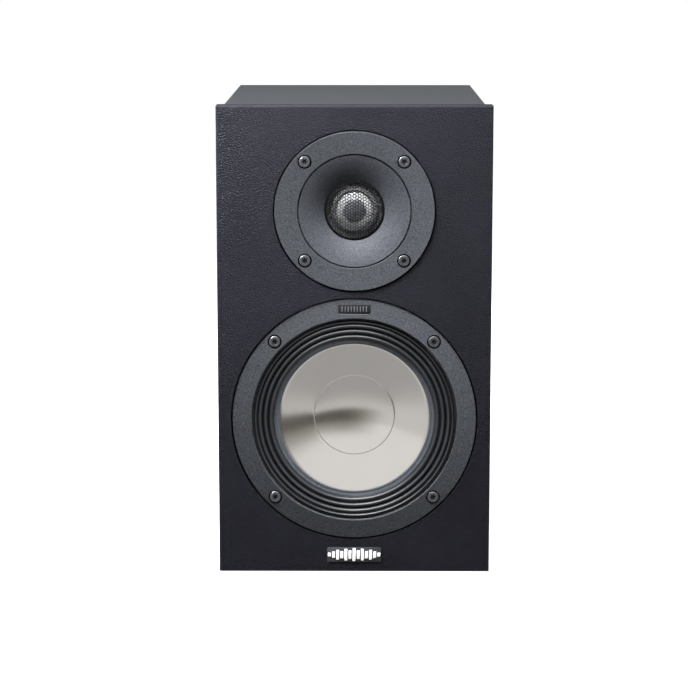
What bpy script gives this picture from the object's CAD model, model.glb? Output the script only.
"""The looks of a two-way bookshelf speaker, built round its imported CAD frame.

Lengths in the tables are millimetres, and MM turns them into metres. A driver's own frame has its
depth running back from the baffle's face; a rear fitting's depth runs into the cabinet.
"""

from math import asin, atan, cos, degrees, hypot, pi, radians, sin, sqrt, tan

import bmesh
import bpy
import numpy as np
from mathutils import Matrix, Vector, noise

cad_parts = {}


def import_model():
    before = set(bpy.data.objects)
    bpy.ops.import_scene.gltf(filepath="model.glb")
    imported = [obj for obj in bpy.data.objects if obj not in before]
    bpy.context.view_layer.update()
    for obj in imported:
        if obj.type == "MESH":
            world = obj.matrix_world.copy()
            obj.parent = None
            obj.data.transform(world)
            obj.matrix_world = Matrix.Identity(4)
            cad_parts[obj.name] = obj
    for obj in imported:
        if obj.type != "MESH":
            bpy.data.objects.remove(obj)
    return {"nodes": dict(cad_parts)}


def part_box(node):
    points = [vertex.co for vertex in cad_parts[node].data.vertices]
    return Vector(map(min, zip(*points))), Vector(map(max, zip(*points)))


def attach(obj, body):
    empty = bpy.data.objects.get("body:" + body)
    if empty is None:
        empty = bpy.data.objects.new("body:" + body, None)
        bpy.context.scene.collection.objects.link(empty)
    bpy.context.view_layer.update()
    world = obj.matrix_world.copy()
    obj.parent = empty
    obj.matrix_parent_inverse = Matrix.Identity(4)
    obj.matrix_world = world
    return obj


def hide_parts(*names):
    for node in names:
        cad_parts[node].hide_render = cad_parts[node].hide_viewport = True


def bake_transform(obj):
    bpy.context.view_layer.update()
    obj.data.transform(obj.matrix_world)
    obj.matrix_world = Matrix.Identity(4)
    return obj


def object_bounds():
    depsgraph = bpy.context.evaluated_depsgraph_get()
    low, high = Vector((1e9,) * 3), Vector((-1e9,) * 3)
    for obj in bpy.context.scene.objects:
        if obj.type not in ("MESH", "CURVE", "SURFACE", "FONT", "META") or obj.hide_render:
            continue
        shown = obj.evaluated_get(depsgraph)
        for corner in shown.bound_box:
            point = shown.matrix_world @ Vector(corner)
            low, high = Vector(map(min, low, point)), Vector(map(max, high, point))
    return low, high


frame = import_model()
cad_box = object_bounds()

MM = 0.001
BAFFLE = frame["nodes"]["front_baffle"]
FRONT_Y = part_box("front_baffle")[0].y
REAR_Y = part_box("rear_panel")[1].y
TOP_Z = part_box("front_baffle")[1].z


def middle(node):
    low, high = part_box(node)
    return (low + high) / 2


WOOFER_Z = middle("woofer_dust_cap").z
TWEETER_Z = middle("tweeter_dome").z
PORT_Z = middle("port_tube").z
TRAY_Z = middle("post_collar_red").z
POST_X = middle("post_collar_black").x

CABINET = "cabinet"
WOOFER_BODY = "woofer_moving_parts"
TWEETER_BODY = "tweeter_moving_parts"

PROUD = 1.0  # how far the rings stand off the baffle
SEGMENTS = 192
SMOOTH_ANGLE = radians(32)


# --- Materials ---


def link(a, b):
    a.id_data.links.new(a, b)


def added(tree, kind, inputs, **settings):
    """A new shader node. Each input, by its name or number, gets a value or a link."""
    made = tree.nodes.new(kind)
    for name, value in settings.items():
        setattr(made, name, value)
    for name, value in inputs.items():
        if isinstance(value, bpy.types.NodeSocket):
            link(value, made.inputs[name])
        else:
            made.inputs[name].default_value = value
    return made


def noise_node(coords, scale, detail=2.0, roughness=0.5):
    inputs = {"Vector": coords, "Scale": scale, "Detail": detail, "Roughness": roughness}
    return added(coords.id_data, "ShaderNodeTexNoise", inputs).outputs["Fac"]


def ranged(value, low, high, from_low=0.3, from_high=0.7, kind="LINEAR"):
    """Goes from low to high as the value goes from from_low to from_high."""
    inputs = {"Value": value, "From Min": from_low, "From Max": from_high, "To Min": low, "To Max": high}
    return added(value.id_data, "ShaderNodeMapRange", inputs, interpolation_type=kind).outputs["Result"]


def coloured(value, dark, light, low=0.3, high=0.7):
    """A colour that goes from dark to light as the value goes from low to high."""
    ramp = added(value.id_data, "ShaderNodeValToRGB", {"Fac": value})
    for element, position, colour in zip(ramp.color_ramp.elements, (low, high), (dark, light)):
        element.position = position
        element.color = (*colour, 1)
    return ramp.outputs["Color"]


def bumped(height, distance, strength, normal=None):
    inputs = {"Height": height, "Distance": distance, "Strength": strength}
    if normal is not None:
        inputs["Normal"] = normal
    return added(height.id_data, "ShaderNodeBump", inputs).outputs["Normal"]


def start(name, **sockets):
    """A new material: (material, its shader, object coordinates)."""
    made = bpy.data.materials.new(name)
    made.use_nodes = True
    tree = made.node_tree
    shader = tree.nodes["Principled BSDF"]
    for socket, value in sockets.items():
        shader.inputs[socket.replace("_", " ")].default_value = value
    coords = tree.nodes.new("ShaderNodeTexCoord").outputs["Object"]
    return made, shader, coords


def feed(shader, colour, rough, normal):
    link(colour, shader.inputs["Base Color"])
    link(rough, shader.inputs["Roughness"])
    if normal is not None:
        link(normal, shader.inputs["Normal"])


def surface(name, dark, light, rough, patch=40, grains=(), **sockets):
    """A finish whose colour drifts from dark to light and whose roughness drifts between two values.

    patch is the number of patches a metre. grains are the relief's (size, depth, strength), with size
    and depth in millimetres, coarse to fine.
    """
    made, shader, coords = start(name, **sockets)
    drift = noise_node(coords, patch, 3)
    wear = noise_node(coords, patch * 3.7, 4)
    normal = None
    for size, depth, strength in grains:
        height = noise_node(coords, 1 / (size * MM), 2, 0.55)
        normal = bumped(height, depth * MM, strength, normal)
    feed(shader, coloured(drift, dark, light), ranged(wear, *rough), normal)
    return made


def leather(name, dark, light, rough, length, width, lean, depth, **sockets):
    """A film embossed with leaning ridges, length by width millimetres, over a fine grain."""
    made, shader, coords = start(name, **sockets)
    stretch = {"Vector": coords, "Rotation": (0, -radians(lean), 0),
               "Scale": (length * MM, width * MM, width * MM)}
    along = added(coords.id_data, "ShaderNodeMapping", stretch, vector_type="TEXTURE").outputs["Vector"]
    ridges = ranged(noise_node(along, 1, 0.5), 0, 1)
    embossed = bumped(ridges, depth * MM, 1.0)
    fine = noise_node(coords, 1 / (0.8 * MM), 2)
    feed(shader, coloured(noise_node(coords, 20, 3), dark, light),
         ranged(noise_node(coords, 400, 2), *rough), bumped(fine, 0.08 * MM, 0.8, embossed))
    return made


def satin_metal(name, dark, light, rough, grain, depth):
    """Pressed metal sheet with a fine blasted grain."""
    made, shader, coords = start(name, Metallic=1.0)
    speckle = noise_node(coords, 1 / (grain * MM), 2)
    feed(shader, coloured(noise_node(coords, 60, 4), dark, light),
         ranged(noise_node(coords, 900, 3), *rough), bumped(speckle, depth * MM, 0.5))
    return made


def wound(name, dark, light, pitch):
    """Enamelled wire wound round an axis along Z, one turn every pitch."""
    made, shader, coords = start(name, Metallic=1.0, Coat_Weight=0.5)
    inputs = {"Vector": coords, "Scale": pi / (10 * pitch * MM), "Distortion": 0.3}
    wave = added(coords.id_data, "ShaderNodeTexWave", inputs, bands_direction="Z", wave_profile="SIN")
    turns = wave.outputs["Fac"]
    feed(shader, coloured(turns, dark, light, 0.1, 0.9),
         ranged(noise_node(coords, 200), 0.25, 0.42), bumped(turns, 0.3 * MM, 0.8))
    return made


LACQUER = leather(
    "embossed_lacquer", (0.0066, 0.0068, 0.0098), (0.0088, 0.0091, 0.0128), (0.4, 0.48), 1.15, 0.75, 50, 0.29,
    Specular_IOR_Level=0.08)
RAW_EDGE = surface(
    "cut_edge", (0.001, 0.001, 0.001), (0.003, 0.003, 0.003), (0.8, 0.9), 200, Specular_IOR_Level=0.1)
WRAP = surface(
    "satin_wrap", (0.0125, 0.0144, 0.0176), (0.0228, 0.026, 0.0308), (0.34, 0.46), 420,
    [(1.4, 0.14, 0.7), (0.7, 0.04, 0.5)])
REAR_BOARD = surface(
    "black_board", (0.012, 0.0125, 0.014), (0.021, 0.022, 0.0245), (0.42, 0.55), 260,
    [(1.6, 0.2, 0.7), (0.7, 0.06, 0.5)])
RING_GREY = surface(
    "grained_grey", (0.027, 0.0296, 0.0342), (0.09, 0.0985, 0.1125), (0.38, 0.5), 1150,
    [(0.8, 0.2, 0.8), (0.5, 0.08, 0.5)], Specular_IOR_Level=0.3)
HORN_GREY = surface(
    "horn_grey", (0.042, 0.045, 0.053), (0.104, 0.1103, 0.1295), (0.42, 0.54), 1150,
    [(0.8, 0.13, 0.8), (0.5, 0.05, 0.5)], Specular_IOR_Level=0.17)
PLASTIC = surface(
    "moulded_black", (0.009, 0.009, 0.01), (0.014, 0.014, 0.015), (0.38, 0.5), 80, [(0.5, 0.05, 0.4)])
MESH_PAINT = surface(
    "mesh_paint", (0.002, 0.002, 0.0022), (0.004, 0.004, 0.0045), (0.45, 0.55), 400, Specular_IOR_Level=0.06)
DISC_GREY = surface("disc_grey", (0.1, 0.103, 0.12), (0.17, 0.175, 0.2), (0.4, 0.5), 300, [(0.9, 0.15, 0.8)])
DOME = surface(
    "dome_metal", (0.76, 0.77, 0.78), (0.8, 0.81, 0.82), (0.24, 0.3), 60, [(0.3, 0.004, 0.5)], Metallic=0.5)
DOME_CLOTH = surface(
    "coated_cloth", (0.13, 0.134, 0.143), (0.18, 0.184, 0.197), (0.55, 0.7), 300, [(0.5, 0.06, 0.6)])
CONE = satin_metal("cone_metal", (0.68, 0.655, 0.62), (0.7, 0.675, 0.64), (0.14, 0.18), 0.5, 0.002)
RUBBER = surface(
    "glossy_rubber", (0.007, 0.008, 0.0105), (0.011, 0.0125, 0.016), (0.3, 0.36), 60, Specular_IOR_Level=0.9)
LIP_RUBBER = surface("glued_lip_rubber", (0.08, 0.089, 0.105), (0.102, 0.112, 0.13), (0.26, 0.34), 120)
FOIL = surface("former_foil", (0.55, 0.56, 0.58), (0.66, 0.67, 0.69), (0.3, 0.42), 120, Metallic=1.0)
COPPER = surface(
    "enamelled_copper", (0.42, 0.15, 0.06), (0.6, 0.24, 0.1), (0.25, 0.4), 500, [(0.3, 0.08, 0.6)],
    Metallic=1.0)
STEEL = surface(
    "zinc_steel", (0.4, 0.41, 0.42), (0.52, 0.53, 0.54), (0.3, 0.45), 60, [(0.8, 0.02, 0.3)], Metallic=1.0)
FERRITE = surface("ferrite", (0.02, 0.02, 0.022), (0.035, 0.035, 0.037), (0.55, 0.7), 90, [(0.9, 0.08, 0.5)])
GOLD = surface("gold_plate", (0.75, 0.5, 0.17), (0.83, 0.58, 0.23), (0.16, 0.26), 150, Metallic=1.0)
FOAM = surface(
    "gasket_foam", (0.008, 0.008, 0.008), (0.014, 0.014, 0.014), (0.8, 0.9), 200, [(0.5, 0.1, 0.7)])
SCREW_BLACK = surface(
    "black_oxide", (0.095, 0.101, 0.11), (0.14, 0.148, 0.16), (0.28, 0.36), 400, [(0.4, 0.01, 0.3)],
    Metallic=0.9)
SOCKET = surface("socket_shade", (0.004, 0.004, 0.005), (0.01, 0.01, 0.011), (0.3, 0.5), 600, Metallic=0.5)
CAST = surface(
    "cast_black", (0.012, 0.012, 0.014), (0.022, 0.022, 0.024), (0.5, 0.62), 120, [(0.9, 0.1, 0.5)])
SPIDER_CLOTH = surface(
    "resin_cloth", (0.35, 0.2, 0.06), (0.48, 0.3, 0.1), (0.6, 0.75), 200, [(0.5, 0.12, 0.8)])
PHENOLIC = surface(
    "phenolic_board", (0.14, 0.06, 0.02), (0.2, 0.09, 0.035), (0.4, 0.5), 90, [(0.6, 0.04, 0.4)])
TINSEL = surface(
    "braided_tinsel", (0.4, 0.33, 0.22), (0.62, 0.54, 0.4), (0.35, 0.5), 900, [(0.3, 0.1, 0.8)], Metallic=0.6)
PLAQUE_BLACK = surface(
    "plaque_black", (0.006, 0.006, 0.007), (0.01, 0.01, 0.011), (0.4, 0.5), 90, Specular_IOR_Level=0.15)
PLAQUE_RIB = surface("plaque_rib", (0.045, 0.047, 0.053), (0.06, 0.063, 0.07), (0.4, 0.5), 120)
BADGE_DARK = surface("badge_dark", (0.012, 0.013, 0.015), (0.02, 0.021, 0.023), (0.4, 0.5), 90)
SILVER = surface("badge_silver", (0.93, 0.94, 0.95), (0.98, 0.98, 0.99), (0.3, 0.4), 200)
NICKEL = surface("nickel", (0.5, 0.5, 0.5), (0.62, 0.62, 0.61), (0.22, 0.34), 200, Metallic=1.0)
RED_PLASTIC = surface(
    "red_plastic", (0.36, 0.006, 0.01), (0.44, 0.01, 0.014), (0.16, 0.24), 120,
    Coat_Weight=0.6, Coat_Roughness=0.08)
BLACK_GLOSS = surface(
    "black_gloss", (0.008, 0.008, 0.009), (0.014, 0.014, 0.016), (0.16, 0.24), 120,
    Coat_Weight=0.6, Coat_Roughness=0.08)
SOLDER_MASK = surface(
    "solder_mask", (0.015, 0.1, 0.03), (0.03, 0.15, 0.045), (0.25, 0.4), 300, [(1.4, 0.03, 0.5)])
FILM = surface("capacitor_film", (0.5, 0.3, 0.03), (0.6, 0.38, 0.06), (0.2, 0.3), 120, [(1.0, 0.03, 0.3)])
CERAMIC = surface("ceramic", (0.62, 0.59, 0.52), (0.72, 0.69, 0.62), (0.6, 0.75), 150, [(0.5, 0.06, 0.5)])
WADDING = surface(
    "wadding", (0.58, 0.56, 0.5), (0.74, 0.72, 0.66), (0.85, 0.95), 60,
    [(6, 1.5, 0.6), (1.5, 0.6, 0.9), (0.5, 0.25, 0.9)], Sheen_Weight=0.4)
COIL_WIRE = wound("wound_copper", (0.32, 0.1, 0.035), (0.62, 0.25, 0.1), 1.1)
WIRE_RED = surface("wire_red", (0.35, 0.012, 0.012), (0.42, 0.02, 0.018), (0.35, 0.45), 120)
WIRE_BLACK = surface("wire_black", (0.01, 0.01, 0.011), (0.016, 0.016, 0.017), (0.35, 0.45), 120)


# --- Shapes ---


def fillet(points, radii, steps=5, closed=True):
    """The outline with its corners rounded by radii, and a holding point beside each arc.

    A radius of 0 keeps its corner.
    """
    made, count = [], len(points)
    for i, (point, r) in enumerate(zip(points, radii)):
        here = Vector(point)
        if r <= 0 or (not closed and i in (0, count - 1)):
            made.append(tuple(here))
            continue
        before, after = Vector(points[i - 1]) - here, Vector(points[(i + 1) % count]) - here
        half = before.angle(after) / 2
        reach = r / tan(half)
        to_middle = (before.normalized() + after.normalized()).normalized()
        centre = here + to_middle * (r / sin(half))
        first = here + before.normalized() * reach
        last = here + after.normalized() * reach
        hold = 0.12 * r
        made.append(tuple(first + before.normalized() * hold))
        a, b = first - centre, last - centre
        turn = a.angle_signed(b)
        for k in range(steps + 1):
            spin = Matrix.Rotation(-turn * k / steps, 2)
            made.append(tuple(centre + spin @ a))
        made.append(tuple(last + after.normalized() * hold))
    return made


def cleaned(bm):
    """Welds coinciding points, drops empty faces and turns the rest outward."""
    bmesh.ops.remove_doubles(bm, verts=bm.verts, dist=1e-7)
    bmesh.ops.dissolve_degenerate(bm, edges=bm.edges, dist=1e-8)
    bmesh.ops.recalc_face_normals(bm, faces=bm.faces)
    return bm


def turned(profile, z, y=None, back=1, x=0.0, closed=True, segments=SEGMENTS, ripple=None):
    """A bmesh turned about the axis along Y through (x, z) from (radius, depth) points in millimetres.

    ripple(angle, radius, depth) gives the radius to use at an angle, for knurls.
    """
    y = FRONT_Y if y is None else y
    bm = bmesh.new()
    rings = []
    for k in range(segments):
        a = 2 * pi * k / segments
        ring = []
        for r, d in profile:
            at = (ripple(a, r, d) if ripple else r) * MM
            ring.append(bm.verts.new((x + at * cos(a), y + back * d * MM, z + at * sin(a))))
        rings.append(ring)
    count = len(profile)
    for a, b in zip(rings, rings[1:] + rings[:1]):
        for i in range(count if closed else count - 1):
            j = (i + 1) % count
            if profile[i][0] > 0 or profile[j][0] > 0:
                bm.faces.new((a[i], a[j], b[j], b[i]))
    return cleaned(bm)


def circle(radius, count, first=0.0):
    """(u, v) points on a circle, from first steps round."""
    angles = [2 * pi * (k + first) / count for k in range(count)]
    return [(radius * cos(a), radius * sin(a)) for a in angles]


def rounded_loop(w, h, r, steps=6):
    """Points of a rounded rectangle round the origin, in millimetres."""
    made = []
    for sx, sy, first in ((1, 1, 0), (-1, 1, 90), (-1, -1, 180), (1, -1, 270)):
        for k in range(steps + 1):
            a = radians(first + 90 * k / steps)
            made.append((sx * (w / 2 - r) + r * cos(a), sy * (h / 2 - r) + r * sin(a)))
    return made


def nested(w, h, steps):
    """Rounded rectangles as (outline, depth), from steps of (growth over w by h, corner radius, depth)."""
    return [(rounded_loop(w + grow, h + grow, r), d) for grow, r, d in steps]


def skinned(loops, place):
    """(bmesh, its rings): an open skin through loops of equal length, given as (outline, depth)."""
    bm = bmesh.new()
    rings = [[bm.verts.new(place(u, v, d)) for u, v in outline] for outline, d in loops]
    for a, b in zip(rings, rings[1:]):
        for i in range(len(a)):
            j = (i + 1) % len(a)
            bm.faces.new((a[i], a[j], b[j], b[i]))
    return bm, rings


def lofted(loops, place):
    """The skin through the loops as a closed bmesh, its ends capped."""
    bm, rings = skinned(loops, place)
    bm.faces.new(rings[0])
    bm.faces.new(rings[-1])
    bmesh.ops.recalc_face_normals(bm, faces=bm.faces)
    return bm


def deeper(line, thick):
    """The back of a sheet whose front is the line: its points in reverse, thick further in."""
    return [(u, d + thick) for u, d in reversed(line)]


def at_front(z):
    """Places (u right, v up, depth) of a front piece whose middle is at height z."""
    return lambda u, v, d: (u * MM, FRONT_Y + d * MM, z + v * MM)


def at_rear(z, x=0.0):
    """The same for a rear piece, whose depth runs into the cabinet."""
    return lambda u, v, d: (x + u * MM, REAR_Y - d * MM, z + v * MM)


def shifted(place, u0, v0):
    return lambda u, v, d: place(u + u0, v + v0, d)


def sharpen(mesh):
    """Smooth shading that breaks at every edge sharper than SMOOTH_ANGLE."""
    bm = bmesh.new()
    bm.from_mesh(mesh)
    for f in bm.faces:
        f.smooth = True
    for e in bm.edges:
        e.smooth = len(e.link_faces) == 2 and e.calc_face_angle(0) < SMOOTH_ANGLE
    bm.to_mesh(mesh)
    bm.free()


def linked(name, data):
    """A new object of the scene."""
    made = bpy.data.objects.new(name, data)
    bpy.context.scene.collection.objects.link(made)
    return made


def as_object(name, bm):
    mesh = bpy.data.meshes.new(name)
    bm.to_mesh(mesh)
    bm.free()
    return linked(name, mesh)


def joined(parts):
    """One bmesh holding copies of several."""
    bm = bmesh.new()
    for part in parts:
        mesh = bpy.data.meshes.new("part")
        part.to_mesh(mesh)
        part.free()
        bm.from_mesh(mesh)
        bpy.data.meshes.remove(mesh)
    return bm


def cut(piece, cutter_bm):
    """Takes the cutter's volume out of the piece."""
    cutter = as_object("cutter", cutter_bm)
    boolean = piece.modifiers.new("cut", "BOOLEAN")
    boolean.operation = "DIFFERENCE"
    boolean.solver = "EXACT"
    boolean.object = cutter
    keep_modified(piece)
    bpy.data.objects.remove(cutter)
    return piece


def keep_modified(piece):
    """Applies the piece's modifiers."""
    bpy.context.view_layer.update()
    evaluated = piece.evaluated_get(bpy.context.evaluated_depsgraph_get())
    mesh = bpy.data.meshes.new_from_object(evaluated)
    piece.modifiers.clear()
    old = piece.data
    piece.data = mesh
    bpy.data.meshes.remove(old)


def done(piece, material, node, body=CABINET):
    """Shades and paints a piece, rides it on its body and stands it for its CAD node."""
    sharpen(piece.data)
    piece.data.materials.clear()
    piece.data.materials.append(material)
    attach(piece, body)
    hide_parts(node)
    return piece


def fitted(name, bm, material, node, body=CABINET):
    return done(as_object(name, bm), material, node, body)


def flexes(piece, material, node):
    """A ring-shaped piece that follows inner within inner_r and outer beyond outer_r, in millimetres."""
    sharpen(piece.data)
    piece.data.materials.append(material)
    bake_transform(piece)
    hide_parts(node)
    return piece


def second_finish(piece, material, takes):
    """Gives a second material to each face for which takes(centre, normal) is true."""
    piece.data.materials.append(material)
    slot = len(piece.data.materials) - 1
    for face in piece.data.polygons:
        if takes(face.center, face.normal):
            face.material_index = slot


# --- Screws ---


def star(radius, lobe, steps=72):
    """The outline of a six-lobe socket."""
    made = []
    for k in range(steps):
        a = 2 * pi * k / steps
        r = radius + lobe * cos(6 * a)
        made.append((r * cos(a), r * sin(a)))
    return made


def screw_parts(place, seat, head_r, head_h, shank_r, length, spin):
    """A pan-head screw's bmesh and its socket cutter's, at one place."""
    def turn(outline, d):
        c, s = cos(spin), sin(spin)
        return [(c * u - s * v, s * u + c * v) for u, v in outline], d

    top = seat - head_h
    profile = fillet(
        [(0, top), (head_r, top), (head_r, seat), (shank_r, seat), (shank_r, seat + length - shank_r),
         (0, seat + length)],
        [0, 0.5, 0.15, 0, 0, 0], closed=False)
    screw, _ = skinned([(circle(r, 48), d) for r, d in profile], place)
    steps = ((0.5, 0.09, -0.5), (0.5, 0.09, 0.05), (0.46, 0.09, 0.25), (0.45, 0.085, 1.3), (0.1, 0, 1.6))
    socket = [turn(star(head_r * share, head_r * lobe), top + d) for share, lobe, d in steps]
    return cleaned(screw), lofted(socket, place)


SPINS = (0.3, 1.0, 0.65, 0.1)  # the angles at which four screws ended up


def screws(name, places, seat, sizes, node, back=1):
    """Four screws under whose heads the depth is seat. sizes are screw_parts' head_r to length."""
    parts = [screw_parts(place, seat, *sizes, spin) for place, spin in zip(places, SPINS)]
    piece = as_object(name, joined([screw for screw, _ in parts]))
    cut(piece, joined([socket for _, socket in parts]))
    done(piece, SCREW_BLACK, node)
    head_r, head_h = sizes[:2]
    face = FRONT_Y if back == 1 else REAR_Y
    deep = (seat - head_h + 0.2) * MM
    centres = [Vector(place(0, 0, seat)) for place in places]

    def in_socket(c, n):
        nearest = min(hypot(c.x - v.x, c.z - v.z) for v in centres)
        return back * (c.y - face) > deep and nearest < head_r * 0.6 * MM

    second_finish(piece, SOCKET, in_socket)


POCKET_R = 4.85
CLEAR_R = 2.3


def driver_screws(ring):
    """(u, v) of a driver's four screws."""
    return circle(ring, 4, 0.5)


def driver_places(z, ring):
    return [shifted(at_front(z), u, v) for u, v in driver_screws(ring)]


def pocket(place, radius, depth, clear, back):
    """A cutter for a screw's pocket with a small chamfer, and its clearance hole."""
    top = -PROUD
    steps = [(radius + 0.25, top - 1), (radius + 0.25, top), (radius, top + 0.25), (radius, depth),
             (clear, depth), (clear, back + 1)]
    return lofted([(circle(r, 64), d) for r, d in steps], place)


def driver_pockets(z, ring, depth, back):
    return [pocket(place, POCKET_R, depth, CLEAR_R, back) for place in driver_places(z, ring)]


def blacken(piece, z, outer, inner, ring):
    """Leaves a driver ring's edges, inner wall and screw pockets in the bare black of its moulding."""
    def hidden(c, n):
        u, v = c.x / MM, (c.z - z) / MM
        r = hypot(u, v)
        wall = abs(n.y) < 0.3 and (r > outer - 0.3 or r < inner + 0.1)
        in_pocket = min(hypot(u - a, v - b) for a, b in driver_screws(ring)) < POCKET_R + 0.1
        return wall or in_pocket and (abs(n.y) < 0.3 or c.y > FRONT_Y + 1.0 * MM)

    second_finish(piece, RAW_EDGE, hidden)


# --- Tweeter ---

TWEETER_R = 55.3
TWEETER_SCREW_RING = 48.4
TWEETER_SEAT = 1.6  # the pockets' floor
HORN_R = 38.5
THROAT_R = 21.0
HORN_DEPTH = 8.0
HORN_FLANGE_R = 45.7
HORN_TURN = 20  # degrees by which the horn's wall curves from its mouth to its throat
MESH_EDGE = HORN_DEPTH - PROUD
MESH_RISE = 4.5
DOME_R = 12.8
DOME_RISE = 4.4
DOME_EDGE = 9.2
DISH = 0.08  # the flange's fall toward the horn for each millimetre of radius
HORN_LIP = DISH * (TWEETER_R - HORN_R) - PROUD


def arc(centre, r, first, last, steps):
    made = []
    for k in range(steps + 1):
        a = radians(first + (last - first) * k / steps)
        made.append((centre[0] + r * cos(a), centre[1] + r * sin(a)))
    return made


def tweeter_flange():
    step = HORN_R + 1
    edge = TWEETER_R - 0.2
    seat = HORN_FLANGE_R + 0.2
    profile = fillet(
        [(edge, -PROUD), (edge, 1.5), (TWEETER_R, 1.5), (TWEETER_R, 5), (seat, 5), (seat, 3), (step, 3),
         (step, HORN_LIP - DISH)],
        [0.4, 0, 0, 0, 0, 0, 0, 0.35])
    piece = as_object("tweeter_flange_ring", turned(profile, TWEETER_Z))
    cut(piece, joined(driver_pockets(TWEETER_Z, TWEETER_SCREW_RING, TWEETER_SEAT, 5)))
    done(piece, RING_GREY, "tweeter_flange")
    blacken(piece, TWEETER_Z, TWEETER_R, step, TWEETER_SCREW_RING)
    return piece


def tweeter_horn():
    depth = MESH_EDGE - HORN_LIP
    width = HORN_R - THROAT_R
    chord = atan(depth / width)
    half_turn = radians(HORN_TURN / 2)
    first, last = chord - half_turn, chord + half_turn
    r = width / (sin(last) - sin(first))
    centre = (HORN_R + r * sin(first), HORN_LIP + r * cos(first))
    profile = [(HORN_R, 3), (HORN_R, HORN_LIP + 0.5), (HORN_R - 0.08, HORN_LIP + 0.3),
               (HORN_R - 0.25, HORN_LIP + 0.08)]
    profile += arc(centre, r, 270 - degrees(first), 270 - degrees(last), 40)
    profile += [(THROAT_R, MESH_EDGE + 0.3), (THROAT_R, 11), (36, 11), (36, 8), (38, 5),
                (HORN_FLANGE_R, 5), (HORN_FLANGE_R, 3.2), (HORN_R, 3.2)]
    return fitted("tweeter_horn_insert", turned(profile, TWEETER_Z), HORN_GREY, "tweeter_horn")


def cap_radius(half_width, rise):
    """The radius of the ball of which a cap of this half width and rise is a part."""
    return (half_width ** 2 + rise ** 2) / (2 * rise)


def cap_line(ball_r, half_width, steps):
    """(radius, fall) points over a ball's cap, from its middle out."""
    reach = asin(half_width / ball_r)
    angles = [reach * k / steps for k in range(steps + 1)]
    return [(ball_r * sin(a), ball_r * (1 - cos(a))) for a in angles]


MESH_BALL_R = cap_radius(THROAT_R - 0.6, MESH_RISE)


def mesh_depth(u, v=0):
    """The depth of the mesh's dome at a place off its axis."""
    return MESH_EDGE - MESH_RISE + MESH_BALL_R - sqrt(MESH_BALL_R * MESH_BALL_R - u * u - v * v)


def tweeter_mesh():
    """A domed sheet with hexagonal holes, and the plain rim that holds it."""
    pitch, wire, inner = 2.05, 0.56, THROAT_R - 1.3
    bm = bmesh.new()
    corners = {}

    def corner(u, v):
        key = (round(u, 3), round(v, 3))
        if key not in corners:
            depth = mesh_depth(u, v) + 0.25
            corners[key] = bm.verts.new((u * MM, FRONT_Y + depth * MM, TWEETER_Z + v * MM))
        return corners[key]

    hexagon = circle(pitch / sqrt(3), 6)
    rows = int(inner / (pitch * 0.866)) + 1
    for row in range(-rows, rows + 1):
        for column in range(-rows - 2, rows + 3):
            u = row * pitch * sqrt(3) / 2
            v = (column + 0.5 * (row % 2)) * pitch
            if hypot(u, v) <= inner:
                bm.faces.new([corner(u + du, v + dv) for du, dv in hexagon])
    bmesh.ops.recalc_face_normals(bm, faces=bm.faces)
    piece = as_object("tweeter_mesh_sheet", bm)
    wires = piece.modifiers.new("wires", "WIREFRAME")
    wires.thickness = wire * MM
    wires.use_even_offset = False
    wires.offset = 0
    keep_modified(piece)
    done(piece, MESH_PAINT, "tweeter_mesh")
    lap = inner - 0.3
    lap_depth = mesh_depth(lap)
    edge = [(THROAT_R - 0.02, MESH_EDGE - 0.1), (THROAT_R - 0.02, MESH_EDGE + 2),
            (THROAT_R - 0.6, MESH_EDGE + 2), (THROAT_R - 0.6, MESH_EDGE + 0.5), (lap, lap_depth + 0.5),
            (lap, lap_depth + 0.02), (THROAT_R - 0.8, MESH_EDGE - 0.25)]
    return fitted("tweeter_mesh_rim", turned(edge, TWEETER_Z), MESH_PAINT, "tweeter_mesh")


def tweeter_dome():
    line = cap_line(cap_radius(DOME_R, DOME_RISE), DOME_R, 24)
    front = [(u, DOME_EDGE - DOME_RISE + fall) for u, fall in line]
    profile = front + deeper(front, 0.2)
    return fitted(
        "tweeter_dome_shell", turned(profile, TWEETER_Z, closed=False),
        DOME, "tweeter_dome", TWEETER_BODY)


def tweeter_phase_disc():
    front = [(u, mesh_depth(u) + 0.6) for u in (0, 1.5, 3, 4.5, 6, 7.2)]
    top, edge = front[0][1], front[-1][1]
    profile = front + [(7.8, edge + 0.25), (8, edge + 0.6), (7.6, edge + 0.95), (0, top + 1.0)]
    return fitted(
        "tweeter_phase_plate", turned(profile, TWEETER_Z, closed=False, segments=96),
        DISC_GREY, "tweeter_phase_disc")


def tweeter_dome_surround():
    roll = arc((14.2, DOME_EDGE), 1.3, 180, 360, 14)
    front = [(12.82, DOME_EDGE)] + roll
    front += [(16, DOME_EDGE + 0.3), (17, 10.2), (17.6, 10.6), (THROAT_R - 0.5, 10.6)]
    piece = as_object("tweeter_dome_roll", turned(front + deeper(front, 0.4), TWEETER_Z))
    return flexes(piece, DOME_CLOTH, "tweeter_dome_surround")


# --- Woofer ---

BEZEL_R = 85.2
BEZEL_BORE_R = 71.6
BEZEL_BACK = 2.2
BEZEL_FALL = 0.14  # the bezel's fall toward its outer edge for each millimetre of radius
WOOFER_SCREW_RING = 78.2
WOOFER_SEAT = 1.2  # the pockets' floor
CONE_R = 52.5
LIP_R = 56.6
LIP_DEPTH = 7.2
CAP_R = 28.3
CAP_SAG = 5.5
CAP_DEPTH = 16.8
NECK_DEPTH = 24.0
WAVE_PITCH = 3.9
WAVE_CREST_R = 58.1
WAVE_HEIGHT = 1.4
PLAQUE_V = 78.2
PLAQUE_SIZE = (22.4, 6.3)
PLAQUE_FRONT = -0.2


def plaque_place():
    return shifted(at_front(WOOFER_Z), 0, PLAQUE_V)


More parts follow.
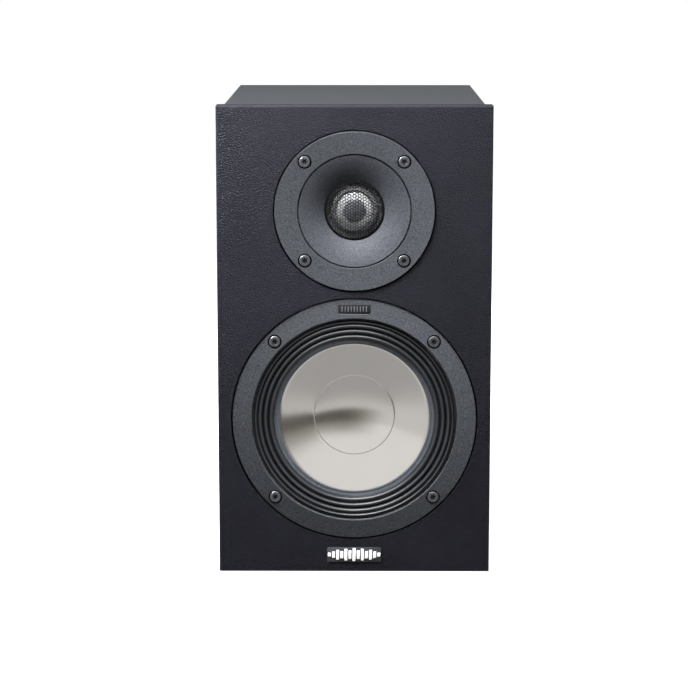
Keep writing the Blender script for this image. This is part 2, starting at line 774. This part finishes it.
def woofer_bezel():
    outer = BEZEL_FALL * (BEZEL_R - BEZEL_BORE_R) - PROUD
    edge = BEZEL_R - 0.2
    profile = fillet(
        [(edge, outer), (edge, BEZEL_BACK), (BEZEL_BORE_R, BEZEL_BACK), (BEZEL_BORE_R, -PROUD)],
        [0.4, 0, 0, 0.5])
    piece = as_object("woofer_bezel_ring", turned(profile, WOOFER_Z, segments=256))
    steps = [(0.8, 1.0, -PROUD - 1), (0.8, 1.0, PLAQUE_FRONT - 0.3), (0.4, 0.8, PLAQUE_FRONT - 0.1),
             (0.4, 0.8, PLAQUE_FRONT + 0.5)]
    recess = lofted(nested(*PLAQUE_SIZE, steps), plaque_place())
    cut(piece, joined(driver_pockets(WOOFER_Z, WOOFER_SCREW_RING, WOOFER_SEAT, BEZEL_BACK) + [recess]))
    done(piece, RING_GREY, "woofer_bezel")
    blacken(piece, WOOFER_Z, BEZEL_R, BEZEL_BORE_R - 1, WOOFER_SCREW_RING)
    return piece


def block(place, w, h, r, front, back, soft=0.15):
    """A rounded block whose front edge is softened, as a bmesh."""
    steps = [(0, r, back), (0, r, front + soft), (-soft * 0.6, r, front + soft * 0.3),
             (-soft * 2, max(r - soft, 0.05), front)]
    return lofted(nested(w, h, steps), place)


def across(place, count, pitch):
    """Places of a row of things, evenly spaced about a middle one."""
    return [shifted(place, (k - (count - 1) / 2) * pitch, 0) for k in range(count)]


def woofer_plaque():
    """A dark plate with plain ribs across it."""
    w, h = PLAQUE_SIZE
    front = PLAQUE_FRONT
    fitted(
        "woofer_plaque_plate", block(plaque_place(), w, h, 0.6, front, front + 0.5),
        PLAQUE_BLACK, "woofer_plaque")
    ribs = [block(place, 0.7, h - 2.4, 0.3, front - 0.2, front + 0.1)
            for place in across(plaque_place(), 9, 2.1)]
    fitted("woofer_plaque_ribs", joined(ribs), PLAQUE_RIB, "woofer_plaque")


def surround_depth(r):
    """Rolls with round crests and sharp grooves between them."""
    phase = (r - WAVE_CREST_R) / WAVE_PITCH
    from_crest = abs(2 * (phase - round(phase)))
    return 3.1 + (68 - r) * 0.15 + WAVE_HEIGHT * (2 * from_crest ** 2.3 - 1)


def woofer_surround():
    steps = 90
    flange = [(CONE_R, LIP_DEPTH - 0.25), (CONE_R + 0.3, LIP_DEPTH - 0.7), (54.2, LIP_DEPTH - 0.8),
              (54.45, LIP_DEPTH - 0.68), (54.7, LIP_DEPTH - 0.8), (LIP_R - 0.6, LIP_DEPTH - 0.85)]
    radii = [LIP_R + (67.5 - LIP_R) * k / steps for k in range(steps + 1)]
    waves = [(r, surround_depth(r)) for r in radii]
    rim = [(67.9, 3.2), (68.1, 2.2), (68.4, 1.5), (68.8, 1.2), (69.2, 1.25), (69.6, 1.6), (69.9, 2.4)]
    back = [(70, 4), (68.3, 4)] + deeper(waves, 0.8) + [(LIP_R - 0.6, LIP_DEPTH), (CONE_R, LIP_DEPTH)]
    profile = flange + waves + rim + back
    piece = as_object("woofer_surround_rubber", turned(profile, WOOFER_Z, segments=256))
    flexes(piece, RUBBER, "woofer_surround")

    def on_lip(c, n):
        return hypot(c.x, c.z - WOOFER_Z) < (LIP_R - 0.5) * MM

    second_finish(piece, LIP_RUBBER, on_lip)
    return piece


def woofer_cone():
    neck_r, root_r, steps = 16.2, CAP_R - 0.3, 12
    front = [(neck_r, NECK_DEPTH), (root_r, CAP_DEPTH)]
    for k in range(1, steps + 1):
        dip = 0.25 * sin(pi * k / steps)
        front.append((root_r + (CONE_R - root_r) * k / steps,
                      CAP_DEPTH + (LIP_DEPTH - CAP_DEPTH) * k / steps + dip))
    front += [(CONE_R + 0.5, LIP_DEPTH), (LIP_R, LIP_DEPTH)]
    return fitted(
        "woofer_cone_shell", turned(front + deeper(front, 0.5), WOOFER_Z, segments=256),
        CONE, "woofer_cone", WOOFER_BODY)


def woofer_dust_cap():
    """A concave cap with a fine rolled edge."""
    edge = CAP_DEPTH - 0.5
    bowl = cap_line(cap_radius(CAP_R, CAP_SAG), CAP_R - 0.4, 30)
    front = [(u, edge + CAP_SAG - fall) for u, fall in bowl]
    front += [(CAP_R - 0.2, edge - 0.12), (CAP_R, edge - 0.05), (CAP_R + 0.1, edge + 0.2)]
    profile = front + deeper(front, 0.4)
    return fitted(
        "woofer_dust_cap_shell", turned(profile, WOOFER_Z, closed=False),
        CONE, "woofer_dust_cap", WOOFER_BODY)


def woofer_spider():
    """A corrugated cloth disc between the cone's neck and the basket."""
    root_r = 17.4
    waves = [(root_r + k / 4, 33.4 + 1.4 * sin(pi / 2 * (k / 4))) for k in range(97)]
    front = [(16.2, 31.4), (17.2, 31.4), (root_r, 33.2)] + waves + [(52, 33.4)]
    profile = front + [(52, 34)] + deeper(waves, 0.6) + [(16.2, 34)]
    piece = as_object("woofer_spider_disc", turned(profile, WOOFER_Z))
    return flexes(piece, SPIDER_CLOTH, "woofer_spider")


# --- Badge ---

BADGE_Z = middle("badge_plate").z


def badge():
    """A dark plate with plain level bars."""
    place = at_front(BADGE_Z)
    fitted("badge_base", block(place, 38, 10.6, 1, -0.4, 0, 0.12), BADGE_DARK, "badge_plate")
    heights = (2.6, 4.4, 7, 5.2, 8.4, 6.2, 9.3, 6.2, 8.4, 5.2, 7, 4.4, 2.6)
    bars = [block(spot, 2.0, h, 0.3, -0.9, -0.4, 0.2)
            for spot, h in zip(across(place, len(heights), 2.9), heights)]
    fitted("badge_level_bars", joined(bars), SILVER, "badge_bars")


# --- Rear fittings ---


def port_tube():
    """A flared tube: out over the mouth's lip, down the bore and back along its outside."""
    mouth, bore, flare = 35.0, 25.0, 10.0
    profile = arc((mouth, flare - PROUD), flare, 268, 180, 24)
    profile += [(bore, 118.5), (bore + 0.4, 119.6), (bore + 1.25, 120), (bore + 2.1, 119.6),
                (bore + 2.5, 118.5), (bore + 2.5, 14), (31, 7), (36.6, 2), (40, 2), (40, 0.6 - PROUD + 0.2),
                (39.8, 0.4 - PROUD), (39.3, -PROUD), (38.9, -PROUD)]
    return fitted(
        "port_flared_tube", turned(profile, PORT_Z, REAR_Y, -1), PLASTIC, "port_tube")


TRAY_W, TRAY_H = 110, 82
TRAY_SCREW_U, TRAY_SCREW_V = 48.5, 34.5
TRAY_SEAT = 0.6  # the pockets' floor
CUP_W, CUP_H = 79, 51
CUP_FLOOR, FLOOR_T = 26, 3


def tray_places():
    corners = [(sx * TRAY_SCREW_U, sy * TRAY_SCREW_V) for sx in (-1, 1) for sy in (-1, 1)]
    return [shifted(at_rear(TRAY_Z), u, v) for u, v in corners]


def terminal_tray():
    loops = nested(CUP_W, CUP_H, [(-14, 3, CUP_FLOOR + FLOOR_T), (5, 6, CUP_FLOOR + FLOOR_T), (5, 6, 2)])
    loops += nested(TRAY_W, TRAY_H, [(0, 8, 2), (0, 8, -0.3), (-0.4, 7.8, -0.75), (-1.4, 7.3, -1)])
    loops += nested(CUP_W, CUP_H, [
        (2.2, 5.1, -1), (0.8, 4.4, -0.6), (0, 4, 0.6), (0, 4, CUP_FLOOR - 1.5),
        (-0.9, 3.6, CUP_FLOOR - 0.4), (-3, 3, CUP_FLOOR), (-14, 3, CUP_FLOOR)])
    piece = as_object("terminal_tray_moulding", lofted(loops, at_rear(TRAY_Z)))
    cutters = [pocket(spot, 3.7, TRAY_SEAT, 1.6, 2) for spot in tray_places()]
    hole = [(0, CUP_FLOOR - 1), (5, CUP_FLOOR - 1), (5, CUP_FLOOR + 5), (0, CUP_FLOOR + 5)]
    for side in (-1, 1):
        cutters.append(turned(hole, TRAY_Z, REAR_Y, -1, side * POST_X, closed=False, segments=48))
    cut(piece, joined(cutters))
    return done(piece, PLASTIC, "terminal_tray")


def post(colour, side, plastic):
    """One screw post: its collar, its pressure washer and its fluted knob with a threaded core."""
    x = side * POST_X
    slot = f"post_{colour}"

    def ring(name, profile, material, body, node, own_slot, segments=96, ripple=None):
        bm = turned(profile, TRAY_Z, REAR_Y, -1, x, segments=segments, ripple=ripple)
        fitted(f"{name}_{colour}", bm, material, f"{node}_{colour}", body)

    collar = fillet([(3, 23), (7.5, 23), (7.5, 26), (5, 26), (5, 29), (3, 29)], [0.2, 0.6, 0, 0, 0, 0])
    ring("post_collar_ring", collar, plastic, CABINET, "post_collar", slot)
    washer = fillet([(3.08, 21.1), (6.5, 21.1), (6.5, 22.7), (3.08, 22.7)], [0.2, 0.3, 0.3, 0.2])
    ring("post_clamp_washer", washer, GOLD, f"clamp_washer_{colour}", "post_washer", "gold")
    core = fillet([(3.06, 4), (4.8, 4), (4.8, 20.8), (3.06, 20.8)], [0.25, 0.25, 0, 0])
    ring("knob_threaded_core", core, GOLD, f"post_knob_{colour}", "knob_core", "gold")

    def flute(angle, r, depth):
        if r < 6.5 or depth > 17.5:
            return r
        fade = min(1, (17.5 - depth) / 1.5)
        return r - 0.75 * fade * max(0, cos(8 * angle)) ** 3

    grip = fillet([(4.8, 3.5), (7.5, 3.5), (7.5, 20.8), (4.8, 20.8)], [0.3, 0.9, 0.6, 0])
    edge = [p for p in grip if p[0] > 7.4]
    split = grip.index(edge[0]) + len([p for p in edge if p[1] < 10])
    grip[split:split] = [(7.5, d) for d in (8, 12, 15, 16, 16.5, 17, 17.5, 18)]
    ring("knob_grip", grip, plastic, f"post_knob_{colour}", "knob_shell", slot, 192, flute)


# --- Inside ---


def pad(name, node):
    """A batt of wadding: a soft block with rounded, uneven faces."""
    low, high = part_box(node)
    inset = 0.004
    low, high = low + Vector((inset,) * 3), high - Vector((inset,) * 3)
    bm = bmesh.new()
    bmesh.ops.create_cube(bm, size=1)
    bmesh.ops.subdivide_edges(bm, edges=bm.edges, cuts=23, use_grid_fill=True)
    size = high - low
    centre = (low + high) / 2
    for v in bm.verts:
        unit = v.co * 2
        swell = Vector([1 - 0.1 * (unit[(k + 1) % 3] ** 4 + unit[(k + 2) % 3] ** 4) for k in range(3)])
        v.co = centre + Vector([unit[k] * swell[k] * size[k] / 2 for k in range(3)])
        lump = noise.noise(v.co * 45) * 0.0035
        v.co += (v.co - centre).normalized() * (lump - 0.0005)
    piece = as_object(name, bm)
    done(piece, WADDING, node)
    return piece


def tube(name, points, radius, sides=16, steps=8):
    """A smooth round tube through the points, in millimetres, as a mesh."""
    curve = bpy.data.curves.new(name, "CURVE")
    curve.dimensions = "3D"
    curve.bevel_depth = radius * MM
    curve.bevel_resolution = sides // 4
    curve.resolution_u = steps
    curve.use_fill_caps = True
    spline = curve.splines.new("NURBS")
    spline.points.add(len(points) - 1)
    for p, place in zip(spline.points, points):
        p.co = (*(Vector(place) * MM), 1)
    spline.order_u = 3
    spline.use_endpoint_u = True
    made = linked(name, curve)
    bpy.context.view_layer.update()
    mesh = bpy.data.meshes.new_from_object(made.evaluated_get(bpy.context.evaluated_depsgraph_get()))
    bpy.data.objects.remove(made)
    return linked(name, mesh)


def tinsel_leads():
    """Two braided leads from the terminal strip to the cone."""
    route = [(61, 36.8), (61.5, 33), (58, 28.5), (50, 25), (41, 21), (35, 18), (33, 15.6)]
    for name, side in (("tinsel_lead_upper", -1), ("tinsel_lead_lower", 1)):
        points = [(u, FRONT_Y / MM + d, WOOFER_Z / MM - 4 * side) for u, d in route]
        piece = tube(name, points, 0.75)
        sharpen(piece.data)
        piece.data.materials.append(TINSEL)
        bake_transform(piece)
        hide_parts("woofer_tinsel_leads")


def internal_wires():
    """Hook-up wires: posts to board, board to woofer and board to tweeter."""
    post_x, board_top = POST_X / MM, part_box("crossover_board")[1].z / MM
    low, high = WOOFER_Z / MM - 4.65, WOOFER_Z / MM + 4.65
    tray, tweeter = TRAY_Z / MM, TWEETER_Z / MM
    from_post = [(post_x, 99, tray), (post_x, 92, 79), (18, 85, 70), (22, 82, 52), (25, 83, 34),
                 (25, 83, board_top)]
    routes = {
        "wire_post_black": (WIRE_BLACK, from_post),
        "wire_post_red": (WIRE_RED, [(-x, y, z) for x, y, z in from_post]),
        "wire_woofer_black": (WIRE_BLACK, [
            (58.4, -88.2, low), (58.4, -80, 104), (62, -62, 96), (66, -40, 72), (60, -12, 42),
            (49, 6, 32), (46, 14, 29), (46, 14, board_top)]),
        "wire_woofer_red": (WIRE_RED, [
            (58.4, -88.2, high), (58.4, -80, 114), (65, -60, 106), (71, -38, 80), (67, -10, 48),
            (57, 6, 34), (54, 14, 30), (54, 14, board_top)]),
        "wire_tweeter_red": (WIRE_RED, [
            (39.8, -119, tweeter), (39.8, -110, 254), (38.6, -100, 249), (26, -95, 238), (0, -93, 222),
            (-30, -91, 204), (-57, -77, 184), (-69, -52, 150), (-70, -36, 110), (-68, -20, 70),
            (-58, 2, 40), (-47, 14, 31), (-46, 16, board_top)]),
        "wire_tweeter_black": (WIRE_BLACK, [
            (-39.8, -119, tweeter), (-39.8, -110, 254), (-46, -99, 236), (-58, -89, 206),
            (-67, -74, 178), (-74, -50, 145), (-74.5, -35, 105), (-73, -20, 65), (-65, 2, 41),
            (-55, 14, 31), (-54, 16, board_top)]),
    }
    for name, (material, points) in routes.items():
        done(tube(name, points, 1.25), material, "internal_wires")


CAD_FINISHES = {
    "front_baffle": LACQUER, "rear_panel": REAR_BOARD, "woofer_basket": CAST,
    "tweeter_former": FOIL, "tweeter_voice_coil": COPPER, "woofer_former": FOIL, "woofer_voice_coil": COPPER,
    "tweeter_top_plate": STEEL, "tweeter_magnet": FERRITE, "tweeter_yoke": STEEL,
    "woofer_top_plate": STEEL, "woofer_magnet": FERRITE, "woofer_yoke": STEEL,
    "tweeter_gasket": FOAM, "woofer_gasket": FOAM, "terminal_gasket": FOAM,
    "tweeter_terminals": GOLD, "woofer_terminal_strip": PHENOLIC, "post_studs": GOLD, "post_nuts": NICKEL,
    "crossover_board": SOLDER_MASK, "crossover_fixings": NICKEL, "crossover_inductors": COIL_WIRE,
    "crossover_capacitors": FILM, "crossover_resistors": CERAMIC,
}
BODY_BOARDS = ("side_panel_left", "side_panel_right", "top_panel", "bottom_panel")


def wrapped_board(node, low, high):
    """A board of the cabinet whose edges on the cabinet's own corners are rounded, as folded film is."""
    bm = bmesh.new()
    bm.from_mesh(frame["nodes"][node].data)
    bm.transform(frame["nodes"][node].matrix_world)
    bmesh.ops.remove_doubles(bm, verts=bm.verts, dist=1e-6)
    bmesh.ops.dissolve_limit(bm, angle_limit=radians(1), verts=bm.verts, edges=bm.edges)

    def outer_planes(p):
        sides = ((p.x, low.x), (p.x, high.x), (p.z, low.z), (p.z, high.z), (p.y, high.y))
        return {k for k, (value, limit) in enumerate(sides) if abs(value - limit) < 1e-5}

    corners = [e for e in bm.edges if len(outer_planes(e.verts[0].co) & outer_planes(e.verts[1].co)) >= 2]
    bmesh.ops.bevel(bm, geom=corners, offset=0.7 * MM, segments=4, profile=0.5, affect="EDGES")
    return fitted(node + "_wrapped", bm, WRAP, node)


def body():
    boxes = [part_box(node) for node in BODY_BOARDS]
    low = Vector([min(b[0][k] for b in boxes) for k in range(3)])
    high = Vector([max(b[1][k] for b in boxes) for k in range(3)])
    return [wrapped_board(node, low, high) for node in BODY_BOARDS]


def paint_cad_nodes():
    """Paints the nodes that keep the CAD's shape. The baffle's holes and back stay bare."""
    for node, material in CAD_FINISHES.items():
        mesh = frame["nodes"][node].data
        mesh.materials.clear()
        mesh.materials.append(material)

    def bare(c, n):
        return c.y > FRONT_Y + 0.9 * MM and abs(c.x) < 94 * MM and 1 * MM < c.z < TOP_Z - 1 * MM

    second_finish(BAFFLE, RAW_EDGE, bare)


# --- Studio ---


def camera():
    """A long lens a little above the cabinet, looking down on the baffle."""
    low, high = cad_box
    data = bpy.data.cameras.new("camera")
    data.sensor_width = 36
    data.lens = 115.0
    data.shift_y = -0.06
    made = linked("camera", data)
    made.location = (0.0028, low.y - 1.5, high.z + 0.108)
    made.rotation_euler = (radians(90 - 9.23), 0, radians(0.38))
    bpy.context.scene.camera = made


def area_light(name, place, aim, size, power, colour=(1, 1, 1)):
    data = bpy.data.lights.new(name, "AREA")
    data.shape = "RECTANGLE"
    data.size, data.size_y = size
    data.energy = power
    data.color = colour
    made = linked(name, data)
    made.location = place
    made.rotation_euler = (Vector(aim) - Vector(place)).to_track_quat("-Z", "Y").to_euler()
    made.visible_camera = False
    return made


DIM_AZIMUTH = radians(31)
DIM_AT_TABLE, DIM_AT_HORIZON = 0.87, 0.6  # how much of the tent's light the dim part lacks
DIM_TINT = (1, 0.94, 0.84)
TABLE_EDGE_Y = -0.47
FLOOR_GLOW = (0.46, 0.74)  # by the speaker, and further out
ROOM_GLOW = 0.95
SOFT_SHARE = 0.07  # of the tent's brightness that lights matt surfaces


def maths(operation, *values):
    """The result of an operation whose last value is a link."""
    tree = values[-1].id_data
    return added(tree, "ShaderNodeMath", dict(enumerate(values)), operation=operation).outputs[0]


def vector_maths(operation, output, *values):
    """One output of an operation whose first value is a link."""
    tree = values[0].id_data
    made = added(tree, "ShaderNodeVectorMath", dict(enumerate(values)), operation=operation)
    return made.outputs[output]


def smooth(value, low, high, to_low=0.0, to_high=1.0):
    """Goes from to_low to to_high, with soft ends, as the value goes from low to high."""
    return ranged(value, to_low, to_high, low, high, "SMOOTHSTEP")


def dark_wedge(vector):
    """1 toward the dim part of the room, in front of the speaker and to its right, else 0."""
    flat = vector_maths("MULTIPLY", "Vector", vector, (1, 1, 0))
    unit = vector_maths("NORMALIZE", "Vector", flat)
    dim_side = (sin(DIM_AZIMUTH), -cos(DIM_AZIMUTH), 0)
    return smooth(vector_maths("DOT_PRODUCT", "Value", unit, dim_side), 0.5, 0.94)


def tinted(dim):
    """White, or the dim part's tint where dim is high."""
    return coloured(dim, (1, 1, 1), DIM_TINT, 0.3, 0.8)


def shown(tree, path, lighting, seen, output):
    """Gives the camera the shader seen, and every other ray the one for lighting."""
    mix = added(tree, "ShaderNodeMixShader",
                {0: path["Is Camera Ray"], 1: lighting.outputs[0], 2: seen.outputs[0]})
    link(mix.outputs[0], tree.nodes[output].inputs["Surface"])


def floor():
    """A white table: its far part is dim in reflections, as an unlit room beyond it would be."""
    bm = bmesh.new()
    bmesh.ops.create_grid(bm, x_segments=1, y_segments=1, size=6)
    made = as_object("studio_floor", bm)
    made.location.z = -0.0005
    material, shader, coords = start(
        "studio_floor", Base_Color=(0.5, 0.5, 0.5, 1), Roughness=0.9, Specular_IOR_Level=0)
    tree = material.node_tree
    y = added(tree, "ShaderNodeSeparateXYZ", {0: coords}).outputs["Y"]
    beyond = smooth(y, TABLE_EDGE_Y + 0.015, TABLE_EDGE_Y - 0.015)
    fading = smooth(y, -2.5, TABLE_EDGE_Y, DIM_AT_HORIZON, DIM_AT_TABLE)
    dim = maths("MULTIPLY", maths("MULTIPLY", beyond, fading), dark_wedge(coords))
    path = tree.nodes.new("ShaderNodeLightPath").outputs
    share = ranged(path["Is Diffuse Ray"], 1, SOFT_SHARE, 0, 1)
    lit = maths("MULTIPLY", share, smooth(y, -0.26, -0.42, *FLOOR_GLOW))
    strength = maths("MULTIPLY", maths("SUBTRACT", 1, dim), lit)
    glow = added(tree, "ShaderNodeEmission", {"Color": tinted(dim), "Strength": strength})
    away = vector_maths("LENGTH", "Value", coords)
    lift = added(tree, "ShaderNodeEmission", {"Strength": smooth(away, 0.3, 1.5, 0.86, 1.0)})
    seen = added(tree, "ShaderNodeAddShader", {0: shader.outputs[0], 1: lift.outputs[0]})
    shown(tree, path, glow, seen, "Material Output")
    made.data.materials.append(material)


def world():
    """White to the camera, a bright tent with one dim side in reflections, and dim for soft light."""
    made = bpy.data.worlds.new("studio")
    bpy.context.scene.world = made
    made.use_nodes = True
    tree = made.node_tree
    coords = tree.nodes.new("ShaderNodeTexCoord").outputs["Generated"]
    parts = added(tree, "ShaderNodeSeparateXYZ", {0: coords}).outputs
    low = smooth(parts["Z"], 0, 0.25, DIM_AT_HORIZON, 0)
    dim = maths("MULTIPLY", low, dark_wedge(coords))
    behind = smooth(parts["Y"], 0.2, 0.9, 1.0, 0.25)
    tent = maths("MULTIPLY", maths("SUBTRACT", 1, dim), behind)
    path = tree.nodes.new("ShaderNodeLightPath").outputs
    share = ranged(path["Is Diffuse Ray"], ROOM_GLOW, ROOM_GLOW * SOFT_SHARE, 0, 1)
    room = tree.nodes["Background"]
    link(tinted(dim), room.inputs["Color"])
    link(maths("MULTIPLY", tent, share), room.inputs["Strength"])
    white = added(tree, "ShaderNodeBackground", {"Color": (1, 1, 1, 1), "Strength": 1.0})
    shown(tree, path, room, white, "World Output")


def studio():
    bpy.context.scene.view_settings.view_transform = "Standard"
    camera()
    floor()
    world()
    area_light("key", (-0.22, -0.42, 1.1), (0, FRONT_Y, 0.16), (0.5, 0.3), 27).visible_glossy = False
    area_light("glint", (-0.12, -0.42, 0.62), (0, FRONT_Y, 0.22), (0.7, 0.3), 7).visible_diffuse = False
    area_light("side", (-0.34, -0.4, 0.7), (0, FRONT_Y, 0.22), (0.25, 0.25), 3).visible_glossy = False
    area_light("strip", (-0.1, -0.1, 1.1), (0, -0.1, 0.3), (1.0, 0.12), 9).visible_diffuse = False
    area_light("rake", (-0.42, FRONT_Y - 0.16, 0.62), (-0.03, FRONT_Y, 0.26), (0.12, 0.12), 23)
    area_light("fill", (0.3, -0.3, 0.35), (0, FRONT_Y, 0.2), (0.16, 0.16), 1.3).visible_glossy = False
    area_light("overhead", (0.1, 0.3, 1.7), (0, 0, 0.3), (1.6, 1.2), 0.8, (0.9, 0.96, 1.0))
    area_light("rear", (0.4, 0.95, 0.5), (0, REAR_Y, 0.16), (0.6, 0.6), 9).visible_glossy = False
    for name, side in (("flank_left", -1), ("flank_right", 1)):
        area_light(name, (side * 1.0, 0.02, 0.5), (0, 0.02, 0.16), (0.4, 0.7), 3.5)


def flag_off(lamps, pieces):
    """Keeps lamps from lighting some pieces, as a flag would."""
    flagged = bpy.data.collections.new("flagged_from_" + lamps[0])
    for piece in pieces:
        flagged.objects.link(piece)
    for lamp in lamps:
        bpy.data.objects[lamp].light_linking.receiver_collection = flagged
    for member in flagged.collection_objects:
        member.light_linking.link_state = "EXCLUDE"


# --- Everything ---

studio()
paint_cad_nodes()
boards = body()
flange = tweeter_flange()
horn = tweeter_horn()
mesh_rim = tweeter_mesh()
tweeter_phase_disc()
dome = tweeter_dome()
dome_roll = tweeter_dome_surround()
screws("tweeter_flange_screws", driver_places(TWEETER_Z, TWEETER_SCREW_RING), TWEETER_SEAT,
       (3.85, 2.1, 1.9, 16.5), "tweeter_screws")
bezel = woofer_bezel()
woofer_plaque()
rolls = woofer_surround()
cone = woofer_cone()
cap = woofer_dust_cap()
woofer_spider()
screws("woofer_bezel_screws", driver_places(WOOFER_Z, WOOFER_SCREW_RING), WOOFER_SEAT,
       (3.85, 1.8, 1.9, 16.9), "woofer_screws")
badge()
port_tube()
terminal_tray()
screws("terminal_tray_screws", tray_places(), TRAY_SEAT, (3.4, 1.5, 1.6, 12.5), "terminal_screws", -1)
post("red", -1, RED_PLASTIC)
post("black", 1, BLACK_GLOSS)
pad("wadding_upper", "damping_pad_upper")
pad("wadding_lower", "damping_pad_lower")
tinsel_leads()
internal_wires()
flag_off(["strip"], [cone, cap, dome])
flag_off(["glint"], [cone, cap, dome, *boards])
flag_off(["rake"], [cone, cap, flange, horn, bezel, rolls, dome, dome_roll, mesh_rim, *boards])
flag_off(["side"], [cone, cap, flange, bezel, BAFFLE])
flag_off(["fill"], [cone, cap, horn, BAFFLE])
